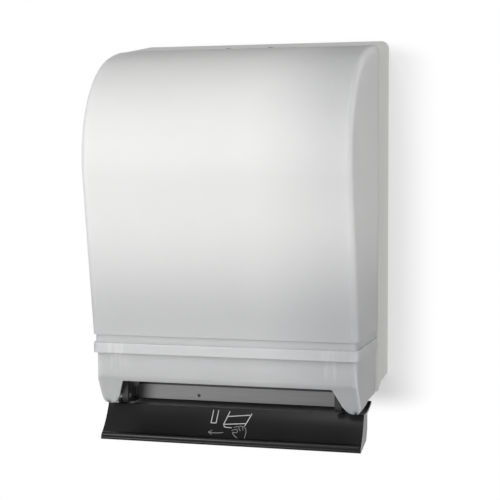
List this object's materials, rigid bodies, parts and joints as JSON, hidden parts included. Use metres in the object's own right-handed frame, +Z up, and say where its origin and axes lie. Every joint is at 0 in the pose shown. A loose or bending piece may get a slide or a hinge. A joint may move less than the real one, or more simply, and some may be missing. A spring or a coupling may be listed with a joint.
{
  "type": "lever paper towel dispenser",
  "caption": "Wall-hung roll towel dispenser: drafted rear case, domed translucent cover hinged at its lower tusks, and a wide black push lever that drives a feed roller.",
  "frame": {"origin": "middle of the four wall screw holes, on the wall face of the rear case", "axes": "+X to the right seen from the front, +Y into the wall, +Z up"},
  "size_m": [0.292, 0.2211, 0.4336],
  "materials": {
    "case_plastic": "fine grained moulded",
    "cover_plastic": "frosted translucent, satin outside",
    "black_plastic": "fine grained moulded",
    "lever_plastic": "semi-gloss moulded",
    "steel_sheet": "brushed along the width",
    "steel_bar": "turned",
    "spring_steel": "drawn wire",
    "screw_steel": "zinc plated",
    "nylon": "natural",
    "cap_plastic": "satin",
    "rubber": "matt"
  },
  "bodies": {
    "housing": {"case": "case_plastic", "rear_guide": "black_plastic", "exit_plate": "steel_sheet", "tear_bar": "steel_sheet", "left_frame": "black_plastic", "right_frame": "black_plastic", "left_feed_bush": "nylon", "right_feed_bush": "nylon", "left_pivot_pin": "steel_bar", "right_pivot_pin": "steel_bar", "left_hinge_pin": "steel_bar", "right_hinge_pin": "steel_bar", "pivot_clip": "spring_steel", "pivot_cap": "cap_plastic", "return_spring": "spring_steel", "lever_bumpers": "rubber", "drive_cover": "black_plastic", "drive_cover_screws": "screw_steel", "frame_screws": "screw_steel", "tear_bar_screws": "screw_steel", "left_arm_pin": "steel_bar", "right_arm_pin": "steel_bar", "latch_pin": "steel_bar", "latch_spring": "spring_steel"},
    "cover": {"cover": "cover_plastic"},
    "lever": {"lever": "lever_plastic", "sector_gear": "nylon", "sector_screws": "screw_steel"},
    "feed_roller": {"feed_shaft": "steel_bar", "feed_drum": "black_plastic", "grip_sleeves": "rubber", "feed_knob": "nylon", "pinion": "nylon"},
    "pinch_roller": {"pinch_shaft": "steel_bar", "pinch_rollers": "rubber"},
    "left_roll_arm": {"left_roll_arm": "black_plastic"},
    "right_roll_arm": {"right_roll_arm": "black_plastic"},
    "left_core_plug": {"left_core_plug": "nylon"},
    "right_core_plug": {"right_core_plug": "nylon"},
    "transfer_bar": {"transfer_bar": "black_plastic"},
    "latch": {"latch": "black_plastic"}
  },
  "joints": [
    {"name": "cover_hinge", "type": "hinge", "parent": "housing", "child": "cover", "pos_m": [0, -0.149, -0.19], "axis": [1, 0, 0], "range_deg": [0, 95]},
    {"name": "lever_swing", "type": "hinge", "parent": "housing", "child": "lever", "pos_m": [0, -0.124, -0.062], "axis": [1, 0, 0], "range_deg": [0, 25], "stiffness_Nm_per_rad": 0.8, "springref_deg": -22.92},
    {"name": "feed_spin", "type": "hinge", "parent": "housing", "child": "feed_roller", "pos_m": [0, -0.102, -0.14151], "axis": [1, 0, 0], "range_deg": [-172, 0]},
    {"name": "pinch_spin", "type": "hinge", "parent": "housing", "child": "pinch_roller", "pos_m": [0, -0.1303, -0.13393], "axis": [1, 0, 0], "continuous": true},
    {"name": "left_arm_swing", "type": "hinge", "parent": "housing", "child": "left_roll_arm", "pos_m": [-0.10775, -0.014, 0.07], "axis": [0, 0, -1], "range_deg": [0, 12], "stiffness_Nm_per_rad": 0.6, "springref_deg": -17.19},
    {"name": "right_arm_swing", "type": "hinge", "parent": "housing", "child": "right_roll_arm", "pos_m": [0.10775, -0.014, 0.07], "axis": [0, 0, 1], "range_deg": [0, 12], "stiffness_Nm_per_rad": 0.6, "springref_deg": -17.19},
    {"name": "left_plug_spin", "type": "hinge", "parent": "left_roll_arm", "child": "left_core_plug", "pos_m": [-0.106, -0.112, 0.07], "axis": [1, 0, 0], "continuous": true},
    {"name": "right_plug_spin", "type": "hinge", "parent": "right_roll_arm", "child": "right_core_plug", "pos_m": [0.106, -0.112, 0.07], "axis": [1, 0, 0], "continuous": true},
    {"name": "transfer_swing", "type": "hinge", "parent": "housing", "child": "transfer_bar", "pos_m": [0, -0.138, -0.04], "axis": [1, 0, 0], "range_deg": [-20, 20]},
    {"name": "latch_press", "type": "hinge", "parent": "housing", "child": "latch", "pos_m": [0, -0.046, 0.176], "axis": [1, 0, 0], "range_deg": [0, 8], "stiffness_Nm_per_rad": 0.3, "springref_deg": -17.19, "deforming": ["latch_spring"]}
  ],
  "couplings": [
    {"joint": "feed_spin", "follows": "lever_swing", "ratio": -6.8571},
    {"joint": "pinch_spin", "follows": "lever_swing", "ratio": 18}
  ]
}
